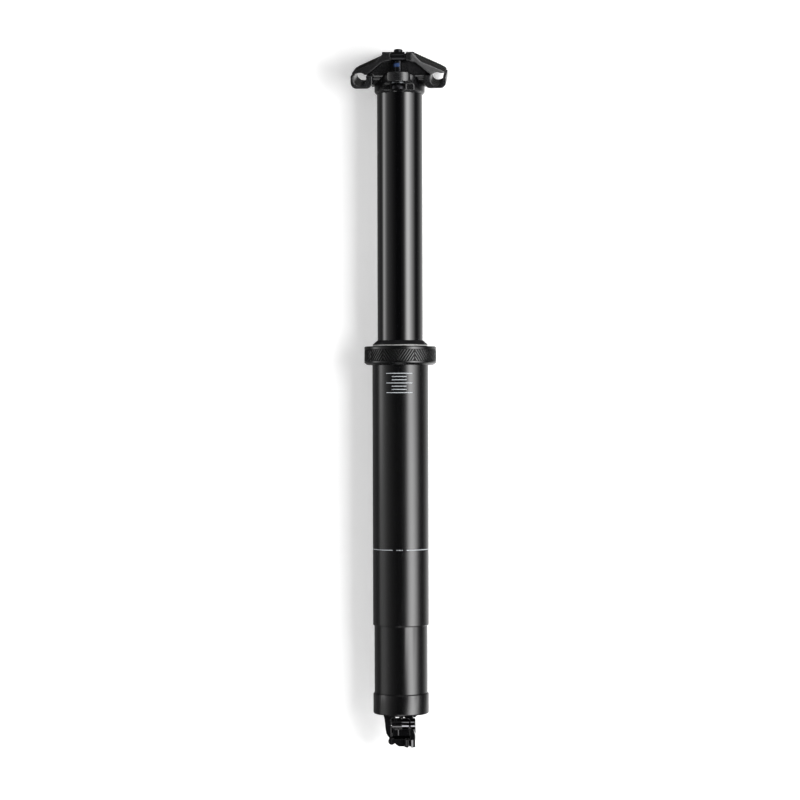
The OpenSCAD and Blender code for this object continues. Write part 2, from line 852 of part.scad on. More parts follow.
// The right upper clamp: a wing over the rail with a knuckle for each cross nut
module upper_clamp() {
    knuckle_x0 = wing_in + loose;
    knuckle_x1 = nut_x + journal_len + edge;
    knuckle_web = nut_w + plate_top - plate_t / 2;
    knuckle_in = nut_v - knuckle_r;
    window_v = knuckle_in - 3;
    arch_top = nut_w + knuckle_r - loose;
    arch_run = 4.4;
    arch_x = knuckle_x1 + arch_run;
    cut_depth = 10;
    in_clamp()
    difference() {
        union() {
            along_y(-clamp_len / 2, clamp_len / 2)
                wing_profile();
            bar_x(knuckle_r, knuckle_x0, knuckle_x1, -nut_v, nut_w);
            bar_x(knuckle_r, knuckle_x0, knuckle_x1, nut_v, -nut_w);
            translate([knuckle_x0, knuckle_in, -nut_w])
                cube([knuckle_x1 - knuckle_x0, 2 * knuckle_r, knuckle_web]);
            along_y(-clamp_len / 2, -knuckle_in)
                polygon([
                    [knuckle_x0, plate_low], [knuckle_x0, arch_top], [knuckle_x1 - 1, arch_top],
                    [arch_x, edge], [arch_x, -edge], [knuckle_x1, plate_low - 1]
                ]);
        }
        bar_x(journal_r + running, 0, knuckle_x1 + past, -nut_v, nut_w);
        bar_x(journal_r + running, 0, knuckle_x1 + past, nut_v, -nut_w);
        translate([wing_in - past, -window_v, 0])
            cube([plate_w + past + 1.5, 2 * window_v, plate_top + past]);
        for (end = [0, 1])
            mirror([0, end, 0])
                translate([shoulder_x, -clamp_len / 2, block_low])
                    rotate([0, 0, wing_sweep])
                        translate([0, -cut_depth, 0])
                            cube([clamp_len, cut_depth, 2 * seat_r]);
    }
}

module upper_clamp_right() {
    color("#1a1a1b")
        upper_clamp();
}

module upper_clamp_left() {
    color("#1a1a1b")
        mirror([1, 0, 0])
            upper_clamp();
}

// Cross nut with a journal at each side, threaded for its bolt
module cross_nut(y) {
    end_r = nut_h / 2;
    difference() {
        union() {
            bar_x(end_r, -nut_x, nut_x, y - nut_len / 2 + end_r, tilt_z);
            bar_x(end_r, -nut_x, nut_x, y + nut_len / 2 - end_r, tilt_z);
            translate([-nut_x, y - nut_len / 2 + end_r, tilt_z - end_r])
                cube([2 * nut_x, nut_len - nut_h, nut_h]);
            bar_x(journal_r, -nut_x - journal_len, nut_x + journal_len, y, tilt_z);
        }
        translate([0, y, tilt_z - nut_h])
            cylinder(r = nut_bore_r, h = 2 * nut_h);
    }
}

module front_nut() {
    color("#0f0f10")
        cross_nut(-bolt_y);
}

module rear_nut() {
    color("#0f0f10")
        cross_nut(bolt_y);
}

// Socket-head bolt, head down, with a chamfered tip
module clamp_bolt(y) {
    tip_z = bolt_seat + bolt_len;
    tip_chamfer = 0.7;
    head_z = bolt_seat - bolt_head_h;
    socket_depth = 2;
    translate([0, y, 0])
    difference() {
        rotate_extrude()
            polygon([
                [0, head_z], [bolt_head_r - edge, head_z], [bolt_head_r, head_z + edge],
                [bolt_head_r, bolt_seat], [bolt_r, bolt_seat], [bolt_r, tip_z - tip_chamfer],
                [bolt_r - tip_chamfer, tip_z], [0, tip_z]
            ]);
        translate([0, 0, head_z - past])
            cylinder(r = bolt_key / 2 / cos(30), h = socket_depth + past, $fn = 6);
    }
}

module front_bolt() {
    color("#101011")
        clamp_bolt(-bolt_y);
}

module rear_bolt() {
    color("#101011")
        clamp_bolt(bolt_y);
}

// Bracket under the cap: a flange, two columns for the lever's pin and a foot
module release_bracket() {
    left_out = column_left - 4.3;
    right_out = column_right + column_foot;
    right_top = column_right + column_t;
    column_y1 = column_y0 + column_depth;
    foot_x = column_left + edge;
    foot_y0 = -cable_y + 0.7;
    foot_y1 = column_y0 + beam_depth;
    foot_right = cable_x - stop_r + 0.2;
    beam_low = beam_z - beam_t;
    pad_r = 2;
    wall_t = 1.4;
    wall_left = 2.4;
    wall_top = nose_z - nose_r - 0.8;
    flange_low = cap_z - flange_t;
    corner_x = 1.7;
    corner_h = 1;
    corner_y1 = -pivot_y + 0.9;
    color("#141415")
    difference() {
        union() {
            translate([0, 0, flange_low])
                linear_extrude(height = flange_t)
                    intersection() {
                        polygon([
                            [left_out, column_y0], [right_top, column_y0], [right_top, 0],
                            [right_out, column_t], [right_out, screw_y + flange_lip],
                            [left_out, screw_y + flange_lip]
                        ]);
                        circle(r = cap_r - cap_round - 0.6);
                    }
            along_y(column_y0, column_y1)
                polygon([
                    [column_left, cap_z], [left_out, cap_z], [left_out + 0.5, cap_z - 3.2],
                    [left_out + 1.1, pivot_z - 2.9], [left_out + 1.6, pivot_z - 5.2],
                    [left_out + 2.5, pivot_z - 6.6], [foot_x, beam_low],
                    [foot_x, beam_z], [column_left, beam_z]
                ]);
            along_y(column_y0, column_y1)
                polygon([
                    [column_right, cap_z], [right_top, cap_z], [right_top, pivot_z - 1.5],
                    [right_out, beam_z + 1.5], [right_out, beam_low], [column_right, beam_low]
                ]);
            along_y(column_y0, column_y1)
                polygon([
                    [column_left - edge, cap_z], [column_left + 1.7, cap_z],
                    [column_left + 1.7, flange_low], [column_left + 1.1, flange_low - 0.7],
                    [column_left - edge, flange_low - 0.9]
                ]);
            translate([column_left, column_y0, beam_low])
                cube([right_out - column_left, beam_depth, beam_t]);
            translate([column_left, column_y1 - wall_t, beam_low])
                cube([right_out - column_left, wall_t, wall_top - beam_low]);
            translate([column_left - edge, column_y1 - wall_t, beam_low])
                cube([wall_left, wall_t, flange_low + edge - beam_low]);
            along_y(column_y0, corner_y1)
                polygon([
                    [column_right + edge, flange_low], [corner_x, flange_low],
                    [corner_x + 0.8, flange_low - corner_h + 0.4],
                    [column_right + edge, flange_low - corner_h]
                ]);
            along_y(foot_y0, foot_y1)
                polygon([
                    [foot_x, beam_z], [foot_x, foot_z + 0.8],
                    [-3.4, beam_z - 2.2], [-2.8, foot_z + 1.2], [-1.1, foot_z],
                    [foot_right, foot_z], [foot_right, beam_z]
                ]);
            translate([foot_x, foot_y0 + beam_depth, foot_z + pad_r + 0.8])
                rotate([90, 0, 0])
                    cylinder(r = pad_r, h = beam_depth - 0.6);
        }
        bar_x(pivot_r + tight, left_out - past, right_out + past, -pivot_y, pivot_z);
        translate([0, 0, flange_low - past])
            cylinder(r = rod_hole_r, h = flange_t + 2 * past);
        for (side = [-1, 1])
            translate([side * screw_x, screw_y, flange_low - past])
                cylinder(r = screw_r + 0.1, h = flange_t + 2 * past);
        translate([cable_x, -cable_y, stop_z - past])
            cylinder(r = stop_r + 0.05, h = stop_h + past + 0.05);
    }
}

// Button-head screws that hold the bracket to the cap
module bracket_screws() {
    seat_z = cap_z - flange_t;
    head_z = seat_z - 1.6;
    head_r = 2.6;
    tip_z = floor_z - loose;
    socket_r = 1.15;
    socket_depth = 1;
    color("#2a2a2b")
    for (side = [-1, 1])
        translate([side * screw_x, screw_y, 0])
        difference() {
            rotate_extrude()
                polygon([
                    [0, head_z], [screw_r, head_z], [head_r, seat_z - 0.5],
                    [head_r, seat_z], [screw_r, seat_z], [screw_r, tip_z], [0, tip_z]
                ]);
            translate([0, 0, head_z - past])
                cylinder(r = socket_r, h = socket_depth + past, $fn = 6);
        }
}

// Slotted socket for the end of the cable housing, seated in the bracket's foot
module housing_stop() {
    slot_w = 1.4;
    color("#161617")
    translate([cable_x, -cable_y, stop_z])
    difference() {
        cylinder(r = stop_r, h = stop_h);
        translate([0, 0, -past])
            cylinder(r = housing_bore / 2, h = stop_h - stop_wall + past);
        cylinder(r = cable_hole_r, h = stop_h + past);
        translate([-slot_w / 2, -stop_r - past, -past])
            cube([slot_w, stop_r + past, stop_h + 2 * past]);
    }
}

module lever_pin() {
    color("#b5b7b9")
        bar_x(pivot_r, column_left - 3, column_right + column_t - 0.2, -pivot_y, pivot_z);
}

// Rocker: a hook for the cable barrel in front, a nose under the release pin behind
module release_lever() {
    hook_x0 = barrel_x0 + 0.2;
    hook_x1 = barrel_x0 + barrel_len - 0.2;
    hook_lip = 2.8;
    cable_slot = 1.8;
    nose_w = 3.6;
    web_h = 3.6;
    leg_h = 6.4;
    toe_h = 5;
    toe_x = -1.6;
    hub_x0 = column_left + loose;
    body_x0 = hub_x0 + 1.5;
    body_x1 = barrel_x0 - loose;
    body_depth = 3.6;
    body_top = pivot_z + 3.5;
    body_low = pivot_z - 2.6;
    arm_w = nose_w - 0.5;
    arm_t = 2 * nose_r - 0.4;
    arm_len = norm([nose_y + pivot_y, nose_z - pivot_z]);
    arm_angle = atan2(nose_z - pivot_z, nose_y + pivot_y);
    color("#121213")
    difference() {
        union() {
            bar_x(hub_r, hub_x0, lever_x, -pivot_y, pivot_z);
            bar_x(hook_r, hook_x0, hook_x1, -cable_y, barrel_z);
            translate([hook_x0, -cable_y, pivot_z - 2])
                cube([lever_x - hook_x0, cable_y - pivot_y, web_h]);
            bar_x(nose_r, -nose_w / 2, nose_w / 2, nose_y, nose_z);
            translate([-arm_w / 2, -pivot_y, pivot_z])
                rotate([arm_angle, 0, 0])
                    translate([0, 0, -arm_t / 2])
                        cube([arm_w, arm_len, arm_t]);
            translate([-4.5, -pivot_y - 2.2, pivot_z - leg_h])
                cube([3, 2.6, leg_h]);
            translate([toe_x, -pivot_y - 1.6, pivot_z - leg_h])
                cube([lever_x - toe_x, 2, toe_h]);
            translate([body_x0, column_y0 + 0.1, body_low])
                cube([body_x1 - body_x0, body_depth, body_top - body_low]);
        }
        bar_x(pivot_r + running, column_left, column_right, -pivot_y, pivot_z);
        bar_x(barrel_r + running, hook_x0 - past, hook_x1 + past, -cable_y, barrel_z);
        translate([hook_x0 - past, -cable_y - hook_r - past, barrel_z - hook_lip])
            cube([barrel_len + 2 * past, hook_r + past, 2 * hook_r]);
        translate([cable_x - cable_slot / 2, -cable_y - hook_r - past, barrel_z - hook_r - past])
            cube([cable_slot, hook_r + past + 1.2, 2 * hook_r + 2 * past]);
    }
}

// Long pin inside the rod, between the lever's nose and the valve
module release_pin() {
    color("#c9cbcd")
    translate([0, 0, cap_z - pin_reach])
        cylinder(r = pin_r, h = poppet_z - cap_z + pin_reach);
}

module valve_poppet() {
    color("#b08d3c")
    rotate_extrude()
        polygon([
            [0, poppet_z], [pin_r, poppet_z], [poppet_r, poppet_z + 0.8],
            [poppet_r, poppet_z + poppet_len - edge], [poppet_r - edge, poppet_z + poppet_len],
            [0, poppet_z + poppet_len]
        ]);
}

// Barrel that grips the cable, slotted in front and threaded from its end
module cable_barrel() {
    barrel_x1 = barrel_x0 + barrel_len;
    slot_w = 1.1;
    color("#1a1a1b")
    difference() {
        bar_x(barrel_r, barrel_x0, barrel_x1, -cable_y, barrel_z);
        translate([cable_x, -cable_y, barrel_z - 2 * barrel_r])
            cylinder(r = cable_hole_r, h = 4 * barrel_r);
        translate([cable_x - slot_w / 2, -cable_y - barrel_r - past, barrel_z - barrel_r - past])
            cube([slot_w, barrel_r + past, 2 * barrel_r + 2 * past]);
        bar_x(screw_r + tight, cable_x, barrel_x1 + past, -cable_y, barrel_z);
    }
}

module barrel_grub_screw() {
    screw_x0 = cable_x + cable_hole_r + 0.1;
    screw_x1 = barrel_x0 + barrel_len - 0.2;
    socket_r = 0.85;
    socket_depth = 1;
    color("#3a3a3c")
    difference() {
        bar_x(screw_r, screw_x0, screw_x1, -cable_y, barrel_z);
        translate([screw_x1 - socket_depth, -cable_y, barrel_z])
            rotate([0, 90, 0])
                cylinder(r = socket_r, h = socket_depth + past, $fn = 6);
    }
}

outer_tube();
upper_bushing();
foam_ring();
collar();
wiper_seal();
bottom_cap();
bottom_out_bumper();
rod_nut();
cartridge_rod();
piston();
piston_seal();
stanchion();
lower_bushing();
anti_rotation_keys();
cartridge_cylinder();
cartridge_gland();
rod_seal();
top_out_ring();
cartridge_retainer();
cylinder_plug();
plug_seal();
floating_piston();
floating_piston_seal();
head();
bolt_washers();
lower_clamp();
upper_clamp_left();
upper_clamp_right();
front_nut();
rear_nut();
front_bolt();
rear_bolt();
release_bracket();
bracket_screws();
housing_stop();
lever_pin();
release_lever();
release_pin();
valve_poppet();
cable_barrel();
barrel_grub_screw();
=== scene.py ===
import json
import math

import bmesh
import bpy
from mathutils import Matrix, Vector

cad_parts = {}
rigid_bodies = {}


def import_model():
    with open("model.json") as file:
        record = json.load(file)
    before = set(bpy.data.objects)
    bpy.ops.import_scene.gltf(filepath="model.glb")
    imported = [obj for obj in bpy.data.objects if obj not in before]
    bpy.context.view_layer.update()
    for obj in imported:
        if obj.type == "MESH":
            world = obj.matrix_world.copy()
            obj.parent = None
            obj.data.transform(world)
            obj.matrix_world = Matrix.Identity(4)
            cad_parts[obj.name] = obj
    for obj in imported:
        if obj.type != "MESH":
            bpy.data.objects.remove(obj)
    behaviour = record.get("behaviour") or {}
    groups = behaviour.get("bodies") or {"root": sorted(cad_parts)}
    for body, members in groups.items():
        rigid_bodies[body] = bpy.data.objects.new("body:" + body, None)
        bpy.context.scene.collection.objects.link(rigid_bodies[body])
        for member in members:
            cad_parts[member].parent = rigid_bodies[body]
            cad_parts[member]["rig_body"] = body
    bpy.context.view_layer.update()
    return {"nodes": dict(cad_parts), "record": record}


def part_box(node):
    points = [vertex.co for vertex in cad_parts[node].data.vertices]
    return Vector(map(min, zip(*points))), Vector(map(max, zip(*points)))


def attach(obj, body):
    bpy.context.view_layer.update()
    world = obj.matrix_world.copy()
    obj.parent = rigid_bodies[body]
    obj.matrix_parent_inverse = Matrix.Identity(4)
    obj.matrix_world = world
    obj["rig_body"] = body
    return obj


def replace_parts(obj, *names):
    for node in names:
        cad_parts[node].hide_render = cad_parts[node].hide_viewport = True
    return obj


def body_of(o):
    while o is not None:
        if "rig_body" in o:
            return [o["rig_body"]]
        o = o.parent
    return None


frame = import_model()

MM = 0.001
nodes = frame["nodes"]
slots = {row["node"]: row["material_slot"] for row in frame["record"]["subparts"]}

# the outer tube's radius and the clamp bolts' distance from the post's axis, in mm as all sizes of pieces are
TUBE_R = 15.8
BOLT_Y = 17.5
# the clamp bolts' M5 thread
THREAD_R = 2.5
THREAD_PITCH = 0.8
# the floor of the collar's sunk gripping band, with its two ends
BAND_R = 19.8
BAND_LOW = 1.8
BAND_HIGH = 8.9
# vertices nearer than this are one vertex, in metres
WELD = 0.001 * MM


# materials

def linear(hex_code):
    """Turns an sRGB hex colour into the linear colour that a shader takes."""
    parts = [int(hex_code[i:i + 2], 16) / 255 for i in (1, 3, 5)]
    return (*(v / 12.92 if v <= 0.04045 else ((v + 0.055) / 1.055) ** 2.4 for v in parts), 1.0)


def add(tree, kind, settings=None, values=None, links=None):
    """Adds one node with its settings, its sockets' own values and its incoming links."""
    made = tree.nodes.new(kind)
    for name, value in (settings or {}).items():
        setattr(made, name, value)
    for socket, value in (values or {}).items():
        made.inputs[socket].default_value = value
    for socket, source in (links or {}).items():
        tree.links.new(source, made.inputs[socket])
    return made


def blank(name):
    """A new material with an empty node tree and its output."""
    made = bpy.data.materials.new(name)
    made.use_nodes = True
    made.node_tree.nodes.clear()
    return made, made.node_tree, made.node_tree.nodes.new("ShaderNodeOutputMaterial")


def finish(name, dark, light, rough, rougher, grain, relief, stretch=(1, 1, 1), metallic=0.0, ior=None,
           cloud=9.0):
    """A surface whose grain and slow clouds move its colour, its roughness and its height.

    dark and light are its two hex colours, rough and rougher the ends of its roughness, grain the spacing
    of its marks in mm, stretch how many times longer they are along x, y and z, relief their height in mm,
    and cloud the spacing of the slow clouds in mm.
    """
    cloud_share = 0.4
    made, tree, out = blank(name)
    place = add(tree, "ShaderNodeTexCoord").outputs["Object"]
    fine = add(tree, "ShaderNodeMapping",
               values={"Scale": tuple(1 / (grain * MM * s) for s in stretch)}, links={"Vector": place})
    marks = add(tree, "ShaderNodeTexNoise", values={"Scale": 1.0, "Detail": 4.0, "Roughness": 0.6},
                links={"Vector": fine.outputs[0]})
    slow = add(tree, "ShaderNodeTexNoise", values={"Scale": 1 / (cloud * MM), "Detail": 3.0},
               links={"Vector": place})
    part = add(tree, "ShaderNodeMath", {"operation": "MULTIPLY"}, {1: cloud_share}, {0: slow.outputs[0]})
    both = add(tree, "ShaderNodeMath", {"operation": "MULTIPLY_ADD"}, {1: 1 - cloud_share},
               {0: marks.outputs[0], 2: part.outputs[0]})
    tint = add(tree, "ShaderNodeMix", {"data_type": "RGBA"}, {6: linear(dark), 7: linear(light)},
               {0: both.outputs[0]})
    shine = add(tree, "ShaderNodeMapRange", None,
                {"From Min": 0.3, "From Max": 0.7, "To Min": rough, "To Max": rougher},
                {"Value": both.outputs[0]})
    height = add(tree, "ShaderNodeBump", None, {"Strength": 1.0, "Distance": relief * MM},
                 {"Height": marks.outputs[0]})
    body = add(tree, "ShaderNodeBsdfPrincipled", None, {"Metallic": metallic},
               {"Base Color": tint.outputs[2], "Roughness": shine.outputs[0], "Normal": height.outputs[0]})
    if ior:
        body.inputs["IOR"].default_value = ior
    tree.links.new(body.outputs[0], out.inputs[0])
    return made


ALONG = (1, 1, 60)
AROUND = (60, 60, 1)

materials = {
    # hard anodised aluminium, ground round and polished: near-mirror black with the faintest rings
    "stanchion_anodised": finish("hard_anodised_stanchion", "#020203", "#050506", 0.05, 0.09, 0.5, 0.00015,
                                 AROUND, ior=1.7),
    # dyed anodised aluminium over a drawn tube: satin, with streaks along the tube that soften reflections
    "outer_tube_anodised": finish("anodised_drawn_tube", "#060607", "#0a0a0b", 0.16, 0.22, 0.5, 0.0006,
                                  ALONG, ior=1.6),
    # dyed anodised aluminium over fine turning: satin, with rings round the part
    "turned_anodised": finish("anodised_turned_rings", "#050506", "#09090a", 0.16, 0.24, 0.4, 0.001,
                              AROUND, ior=1.6),
    # dyed anodised aluminium over a shot-blasted forging: broad soft highlights with a fine even grain
    "forged_anodised": finish("anodised_blasted_forging", "#0b0b0c", "#161618", 0.22, 0.34, 0.35, 0.005,
                              ior=1.65),
    # dyed anodised aluminium over milling: close to the tube's gloss, with short cutter marks
    "machined_anodised": finish("anodised_milled_parts", "#08080a", "#101011", 0.1, 0.16, 0.3, 0.002,
                                (1, 6, 1), ior=1.6),
    # steel under black oxide and oil: neutral near-black with worn grey patches
    "black_steel": finish("black_oxide_steel", "#161617", "#37373a", 0.24, 0.42, 0.3, 0.002, metallic=1.0),
    # ground stainless steel: bright, with rings from the grinder
    "bright_steel": finish("ground_stainless_pin", "#b9babb", "#d6d6d5", 0.16, 0.26, 0.25, 0.001,
                           AROUND, metallic=1.0),
    # turned steel washers and nut: grey, with turning rings
    "washer_steel": finish("turned_zinc_steel", "#3d3f41", "#5a5c5e", 0.25, 0.4, 0.3, 0.002,
                           AROUND, metallic=1.0),
    # hard chrome, ground and lapped: mirror-like with a blue-white tone
    "chromed_rod": finish("lapped_hard_chrome", "#d4d6d9", "#e2e3e5", 0.05, 0.09, 0.4, 0.0002,
                          AROUND, metallic=1.0),
    # bare turned aluminium: pale, with plain tool rings
    "plain_aluminium": finish("bare_turned_aluminium", "#b4b5b7", "#d2d2d3", 0.24, 0.36, 0.3, 0.002,
                              AROUND, metallic=1.0),
    # drawn brass: yellow with browner worn patches
    "key_brass": finish("drawn_brass", "#8f7136", "#c9a65b", 0.24, 0.4, 0.3, 0.002, (1, 1, 8), metallic=1.0),
    # moulded nitrile rubber: matte near-black with a dusty bloom
    "seal_rubber": finish("moulded_nitrile_rubber", "#0f0f0f", "#1d1d1c", 0.55, 0.72, 0.4, 0.004, ior=1.52),
    # moulded wiper rubber wiped with oil: black with a low sheen
    "wiper_rubber": finish("oiled_wiper_rubber", "#0b0b0c", "#141415", 0.28, 0.4, 0.4, 0.003, ior=1.52),
    # open-cell foam soaked in oil: dull brown-grey with open pores
    "oiled_foam": finish("oiled_open_foam", "#3b372f", "#6b6558", 0.6, 0.85, 0.6, 0.12, ior=1.47),
    # filled sliding polymer: dark olive with a waxy surface
    "bushing_polymer": finish("filled_sliding_polymer", "#35332e", "#4a473f", 0.38, 0.5, 0.4, 0.004, ior=1.5),
}
# laser marking on anodised aluminium: pale grey and matte, with the raster's fine unevenness
marking = finish("laser_marked_anodising", "#8d9196", "#b6babd", 0.45, 0.6, 0.12, 0.001, ior=1.6, cloud=3.0)
# black nickel over polished brass: a dark mirror that shows the boxes above and below as crisp bars
plated = finish("black_nickel_plated_barrel", "#6c6c6e", "#7f7f82", 0.07, 0.12, 0.3, 0.0005, (60, 1, 1),
                metallic=1.0)
# dried threadlocker: dull blue paste in uneven lumps
threadlock = finish("dried_threadlocker", "#0a1430", "#27497f", 0.3, 0.5, 0.4, 0.03, ior=1.5, cloud=0.9)
# floor of the collar's gripping band: blasted before anodising so it stays dull between the ribs, and
# coloured darker than the collar as painted shade in the grooves between the ribs
shaded_grip_floor = finish("blasted_grip_floor_painted_shade", "#030303", "#080808", 0.5, 0.7, 0.25, 0.004, ior=1.4)
# pale, waxy white ring with a faint unevenness from the mould; its white is a painted highlight, standing for
# the bright line of light between the wiper and the collar
white_highlight_ring = finish("pale_ring_painted_highlight", "#c9c9c6", "#dadad8", 0.35, 0.5, 0.4, 0.002, ior=1.48)

for node, finish_slot in slots.items():
    nodes[node].data.materials.clear()
    nodes[node].data.materials.append(materials[finish_slot])


# pieces

def piece(name, bm, node, material=None, sharp=35):
    """Makes an object of a finished bmesh in metres, which rides with a CAD node and takes its finish.

    Edges that turn by more than sharp degrees stay sharp.
    """
    mesh = bpy.data.meshes.new(name)
    bm.to_mesh(mesh)
    bm.free()
    mesh.materials.append(material or materials[slots[node]])
    mesh.shade_smooth()
    mesh.set_sharp_from_angle(angle=math.radians(sharp))
    made = bpy.data.objects.new(name, mesh)
    bpy.context.collection.objects.link(made)
    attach(made, body_of(nodes[node])[0])
    return made


def merged(node):
    """A copy of a CAD node's mesh with its triangles joined."""
    bm = bmesh.new()
    bm.from_mesh(nodes[node].data)
    bmesh.ops.remove_doubles(bm, verts=bm.verts, dist=WELD)
    return bm


def forged(node, voxel, passes):
    """Stands for a CAD node, with an even skin whose edges are rounded as forging and blasting leave them."""
    made = piece(node + "_forged", merged(node), node, sharp=180)
    skin = made.modifiers.new("even_skin", "REMESH")
    skin.mode = "VOXEL"
    skin.voxel_size = voxel * MM
    skin.use_smooth_shade = True
    edges = made.modifiers.new("rounded_edges", "SMOOTH")
    edges.factor = 0.5
    edges.iterations = passes
    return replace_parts(made, node)


def broken_edges(node, width, material=None):
    """Stands for a CAD node, with each sharp edge broken by a small round that catches the light."""
    bm = merged(node)
    bmesh.ops.dissolve_limit(bm, angle_limit=math.radians(0.5), verts=bm.verts, edges=bm.edges)
    made = piece(node + "_edged", bm, node, material)
    edges = made.modifiers.new("broken_edges", "BEVEL")
    edges.width = width * MM
    edges.segments = 2
    edges.limit_method = "ANGLE"
    edges.angle_limit = math.radians(35)
    edges.harden_normals = True
    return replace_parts(made, node)


def everything(bm):
    """All vertices, edges and faces of a bmesh, as its operators take them."""
    return bm.verts[:] + bm.edges[:] + bm.faces[:]


def only_verts(geom):
    """The vertices among what an operator returns."""
    return [part for part in geom if isinstance(part, bmesh.types.BMVert)]


def closed(bm):
    """Closes each open edge loop of a bmesh with a face."""
    bmesh.ops.holes_fill(bm, edges=[e for e in bm.edges if e.is_boundary])


def turned(bm, outline, steps, start=0.0, sweep=360.0):
    """Adds a closed outline of (radius, height) in mm, turned round a vertical axis, to a bmesh."""
    verts = [bm.verts.new((r * MM, 0, z * MM)) for r, z in outline]
    edges = [bm.edges.new(pair) for pair in zip(verts, verts[1:] + verts[:1])]
    bmesh.ops.rotate(bm, verts=verts, cent=(0, 0, 0), matrix=Matrix.Rotation(math.radians(start), 3, "Z"))
    bmesh.ops.spin(bm, geom=verts + edges, cent=(0, 0, 0), axis=(0, 0, 1),
                   angle=math.radians(sweep), steps=steps, use_merge=sweep == 360.0)


def thread(bm, low, high):
    """Adds a clamp bolt's thread, one ridge wound up from low to high in mm, to a bmesh."""
    sides = 32
    root = THREAD_R - 0.55 * THREAD_PITCH
    turns = int((high - low) / THREAD_PITCH)
    outline = ((root, 0), (THREAD_R, 0.4), (THREAD_R, 0.6), (root, 1))
    verts = [bm.verts.new((r * MM, 0, (low + share * THREAD_PITCH) * MM)) for r, share in outline]
    edges = [bm.edges.new(pair) for pair in zip(verts, verts[1:])]
    bmesh.ops.spin(bm, geom=verts + edges, cent=(0, 0, 0), axis=(0, 0, 1),
                   dvec=(0, 0, THREAD_PITCH * MM / sides), angle=2 * math.pi * turns, steps=turns * sides)


def clamp_bolt(node, side):
    """Stands for a clamp bolt: its head as in the frame, then a wound thread with a domed tip.

    The thread starts just above the washer; side is -1 for the front bolt and 1 for the rear one.
    """
    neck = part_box("bolt_washers")[1][2] / MM + 0.2
    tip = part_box(node)[1][2] / MM
    core, dome = 2.1, 2.44
    bm = merged(node)
    bmesh.ops.bisect_plane(bm, geom=everything(bm), plane_co=(0, 0, neck * MM), plane_no=(0, 0, 1),
                           clear_outer=True)
    closed(bm)
    head = set(bm.verts)
    thread(bm, neck, tip - 1.4)
    turned(bm, [(0, neck), (core, neck), (core, tip - 1.6), (dome, tip - 1.5), (dome, tip - 0.8),
                (2.0, tip - 0.35), (1.2, tip - 0.1), (0, tip)], steps=32)
    bmesh.ops.translate(bm, verts=[v for v in bm.verts if v not in head], vec=(0, side * BOLT_Y * MM, 0))
    bmesh.ops.remove_doubles(bm, verts=bm.verts, dist=2 * WELD)
    bmesh.ops.recalc_face_normals(bm, faces=bm.faces)
    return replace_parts(piece(node + "_threaded", bm, node), node)


def wrap(bm, radius):
    """Bends a flat bmesh, with x round the part from its front, y up it and z out of it, in mm to metres."""
    for v in bm.verts:
        turn = v.co.x / radius
        reach = radius + v.co.z
        v.co = Vector((math.sin(turn) * reach, -math.cos(turn) * reach, v.co.y)) * MM


def printed(name, marks):
    """Marks on the outer tube, each (left, right, low, high) in mm measured round it from its front."""
    skin, facet = 0.03, 1.2
    bm = bmesh.new()
    for left, right, low, high in marks:
        steps = max(1, round((right - left) / facet))
        made = bmesh.ops.create_grid(bm, x_segments=steps, y_segments=1, size=0.5)["verts"]
        bmesh.ops.scale(bm, verts=made, vec=(right - left, high - low, 1))
        bmesh.ops.translate(bm, verts=made, vec=((left + right) / 2, (low + high) / 2, -skin / 3))
    wrap(bm, TUBE_R)
    bmesh.ops.recalc_face_normals(bm, faces=bm.faces)
    first = bm.faces[:][0]
    outward = first.normal.dot(first.calc_center_median()) > 0
    bmesh.ops.solidify(bm, geom=bm.faces[:], thickness=(-skin if outward else skin) * MM)
    bmesh.ops.recalc_face_normals(bm, faces=bm.faces)
    piece(name, bm, "outer_tube", marking)


def height_scale():
    """A plain scale below the collar, where a rider reads how far the post is pushed in."""
    top, step, count, line = -4.6, 1.8, 7, 0.45
    marks = []
    for i in range(count):
        half = 7.6 if i % 3 == 0 else 4.2
        marks.append((-half, half, top - i * step - line, top - i * step))
    printed("height_scale", marks)


def insertion_line():
    """The least-insertion line, broken in front by three plain bars."""
    z, half, gap, bar = -103.7, 0.2, 4.0, 0.55
    around_tube = 2 * math.pi * TUBE_R
    marks = [(gap, around_tube - gap, z - half, z + half)]
    for x in (-1.7, 0, 1.7):
        marks.append((x - bar, x + bar, z - half, z + half))
    printed("insertion_line", marks)


